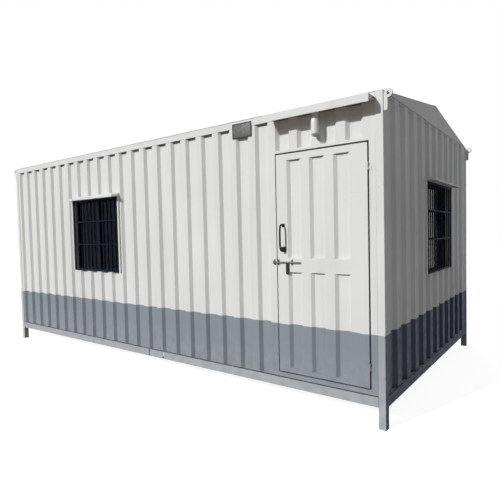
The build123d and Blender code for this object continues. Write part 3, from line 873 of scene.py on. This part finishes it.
def make_roof_laps():
    """Cover strips over the roof sheet joints, with domed fixings on each strip and along the eaves."""
    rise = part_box("roof_front")[1].z - ROOF_GAUGE - EAVE
    run = WIDTH / 2 - EAVE_FLANGE
    slope = math.atan2(rise, run)
    reach = (run - RIDGE_CAP) / math.cos(slope)
    foot = Matrix.Translation((0, EAVE_FLANGE, EAVE + ROOF_GAUGE)) @ Matrix.Rotation(slope, 4, "X")
    count = int(LENGTH / LAP_SPACING)
    laps, heads = Shape(), Shape()
    for wall in ("front", "back"):
        laps.place = heads.place = WALLS[wall] @ foot
        for n in range(count):
            make_lap(laps, heads, LENGTH / 2 + (n - (count - 1) / 2) * LAP_SPACING, reach)
        for n in range(int(LENGTH / FIXING_SPACING)):
            heads.turned(SCREW, ((n + 0.5) * FIXING_SPACING, EAVE_FIXING, 0), SCREW_SIDES)
    laps.put("roof_lap_strips", "cabin", "roof_sheet", roof_paint)
    heads.put("roof_fixings", "cabin", "roof_sheet", screw_steel)


make_roof_laps()

# Inner trim: skirting and cover strips over the joints of the lining boards

SKIRTING_HEIGHT, SKIRTING_GAUGE, SKIRTING_EDGE = 0.070, 0.010, 0.003
BATTEN_HALF, BATTEN_GAUGE = 0.020, 0.004
BATTENS = {
    "front": (0.60, 1.58, 2.73, 3.75, 4.90),
    "back": (1.0, 2.1, 3.05, 4.0, 5.1),
    "right": (0.60, 2.45),
    "left": (0.60, 2.45),
}
DOOR_SIDE = box_on_wall("door_frame", "front")[0].x


def make_inner_trim():
    """Skirting along the walls up to the door, strips up the walls and across the ceiling."""
    shape = Shape()
    face = LINING_FACE
    skirting = FLOOR + SKIRTING_HEIGHT
    for wall, place in WALLS.items():
        shape.place = place
        end = DOOR_SIDE if wall == "front" else wall_length(wall) - face
        shape.bar((face, face, FLOOR), (end, face + SKIRTING_GAUGE, skirting), SKIRTING_EDGE)
        for u in BATTENS[wall]:
            shape.bar((u - BATTEN_HALF, face, skirting), (u + BATTEN_HALF, face + BATTEN_GAUGE, CEILING))
    shape.place = WALLS["front"]
    for u in BATTENS["back"]:
        shape.bar((u - BATTEN_HALF, face, CEILING - BATTEN_GAUGE), (u + BATTEN_HALF, WIDTH - face, CEILING))
    shape.put("inner_trim", "cabin", "lining_board", trim_wood)


make_inner_trim()

# Camera, where the photograph was taken: metres from the near corner and the ground, degrees and pixels

CAMERA_ASIDE, CAMERA_OUT, CAMERA_HEIGHT = 1.2336, 3.2205, 1.5988
CAMERA_AZIMUTH, CAMERA_TILT, CAMERA_ROLL = 34.969, -2.239, -1.179
IMAGE_SIZE = 500
FOCAL_PIXELS = 426.08
CENTRE_PIXEL = 278.37
SENSOR = 36.0


def make_camera():
    """Camera with the photograph's direction, roll and focal length, and its view axis off the middle."""
    a, e, roll = (math.radians(v) for v in (CAMERA_AZIMUTH, CAMERA_TILT, CAMERA_ROLL))
    forward = Vector((-math.sin(a) * math.cos(e), math.cos(a) * math.cos(e), math.sin(e)))
    right = Vector((math.cos(a), math.sin(a), 0))
    up = right.cross(forward)
    across = math.cos(roll) * right + math.sin(roll) * up
    upward = -math.sin(roll) * right + math.cos(roll) * up
    data = bpy.data.cameras.new("camera")
    data.sensor_width = SENSOR
    data.lens = FOCAL_PIXELS / IMAGE_SIZE * SENSOR
    data.shift_x = (IMAGE_SIZE / 2 - CENTRE_PIXEL) / IMAGE_SIZE
    camera = bpy.data.objects.new("camera", data)
    turn = Matrix((across, upward, -forward)).transposed()
    place = (RIGHT_FACE + CAMERA_ASIDE, FRONT_FACE - CAMERA_OUT, CAMERA_HEIGHT)
    camera.matrix_world = Matrix.Translation(place) @ turn.to_4x4()
    bpy.context.scene.collection.objects.link(camera)
    bpy.context.scene.camera = camera


# Light and floor

SUN_TOWARDS, SUN_STRENGTH, SUN_SOFTNESS = Vector((0.365, 1.0, -0.56)), 2.95, 0.05
FILL_TOWARDS, FILL_STRENGTH, FILL_SOFTNESS = Vector((0.6, -1.0, -0.6)), 0.7, 0.6
SKY_LIGHT, SKY_STRENGTH = (0.93, 0.95, 1.02, 1), 0.24
BACKDROP = (1, 1, 1, 1)
FLOOR_REACH = 40.0
FLOOR_PALE, FLOOR_GLOW = (0.30, 0.30, 0.30, 1), 0.92


def seen_directly(tree):
    """One for rays that show the background: straight, mirrored or through glass."""
    path = tree.nodes.new("ShaderNodeLightPath")
    total = path.outputs["Is Camera Ray"]
    for kind in ("Is Glossy Ray", "Is Transmission Ray"):
        either = tree.nodes.new("ShaderNodeMath")
        either.operation = "MAXIMUM"
        tree.links.new(total, either.inputs[0])
        tree.links.new(path.outputs[kind], either.inputs[1])
        total = either.outputs[0]
    return total


def make_sun(name, towards, strength, softness):
    """One distant lamp that shines in the given direction."""
    light = bpy.data.lights.new(name, "SUN")
    light.energy = strength
    light.angle = softness
    lamp = bpy.data.objects.new(name, light)
    lamp.rotation_euler = towards.to_track_quat("-Z", "Y").to_euler()
    bpy.context.scene.collection.objects.link(lamp)


def make_sky():
    """Weak even light from all round, with a white backdrop where it is seen."""
    world = bpy.data.worlds.new("studio")
    world.use_nodes = True
    bpy.context.scene.world = world
    tree = world.node_tree
    sky = tree.nodes["Background"]
    sky.inputs["Color"].default_value = SKY_LIGHT
    sky.inputs["Strength"].default_value = SKY_STRENGTH
    backdrop = tree.nodes.new("ShaderNodeBackground")
    backdrop.inputs["Color"].default_value = BACKDROP
    mix = tree.nodes.new("ShaderNodeMixShader")
    tree.links.new(seen_directly(tree), mix.inputs[0])
    tree.links.new(sky.outputs[0], mix.inputs[1])
    tree.links.new(backdrop.outputs[0], mix.inputs[2])
    tree.links.new(mix.outputs[0], tree.nodes["World Output"].inputs[0])


def floor_material():
    """Pale ground that takes the shadow, with a glow added where it is seen."""
    material = bpy.data.materials.new("floor_pale")
    material.use_nodes = True
    tree = material.node_tree
    ground = tree.nodes.new("ShaderNodeBsdfDiffuse")
    ground.inputs["Color"].default_value = FLOOR_PALE
    glow = tree.nodes.new("ShaderNodeEmission")
    share = tree.nodes.new("ShaderNodeMath")
    share.operation = "MULTIPLY"
    share.inputs[1].default_value = FLOOR_GLOW
    tree.links.new(seen_directly(tree), share.inputs[0])
    tree.links.new(share.outputs[0], glow.inputs["Strength"])
    both = tree.nodes.new("ShaderNodeAddShader")
    tree.links.new(ground.outputs[0], both.inputs[0])
    tree.links.new(glow.outputs[0], both.inputs[1])
    tree.links.new(both.outputs[0], tree.nodes["Material Output"].inputs[0])
    return material


def make_floor():
    """Flat floor under the cabin, which is stage and no part of the object."""
    mesh = bpy.data.meshes.new("floor")
    r = FLOOR_REACH
    mesh.from_pydata([(-r, -r, 0), (r, -r, 0), (r, r, 0), (-r, r, 0)], [], [(0, 1, 2, 3)])
    mesh.materials.append(floor_material())
    floor = bpy.data.objects.new("floor", mesh)
    bpy.context.scene.collection.objects.link(floor)


make_camera()
make_sun("sun", SUN_TOWARDS, SUN_STRENGTH, SUN_SOFTNESS)
make_sun("fill", FILL_TOWARDS, FILL_STRENGTH, FILL_SOFTNESS)
make_sky()
make_floor()
bpy.context.scene.view_settings.view_transform = "Standard"
